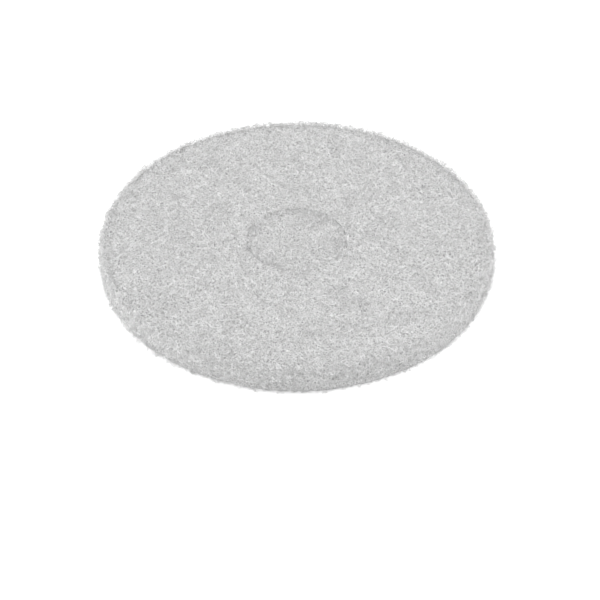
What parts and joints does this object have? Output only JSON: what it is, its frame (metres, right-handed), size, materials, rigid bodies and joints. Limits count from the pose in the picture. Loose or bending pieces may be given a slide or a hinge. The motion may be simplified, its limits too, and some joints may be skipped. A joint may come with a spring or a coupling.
{
  "type": "floor polishing pad",
  "caption": "Thick round pad of lofty non-woven white fibre with a ring-cut centre core. It goes under a rotary floor machine to polish hard floors.",
  "frame": {"origin": "centre of the lower face, which lies flat on the floor", "axes": "+Z along the pad's axis, from the face on the floor to the face that the machine's pad driver grips; the round disc looks alike along +X and +Y"},
  "size_m": [0.3312, 0.3305, 0.0254],
  "materials": {
    "white_fibre": "matt, open mat of crimped white fibres with speckled shade between them"
  },
  "bodies": {
    "root": {"polishing_pad": "white_fibre"}
  },
  "joints": []
}
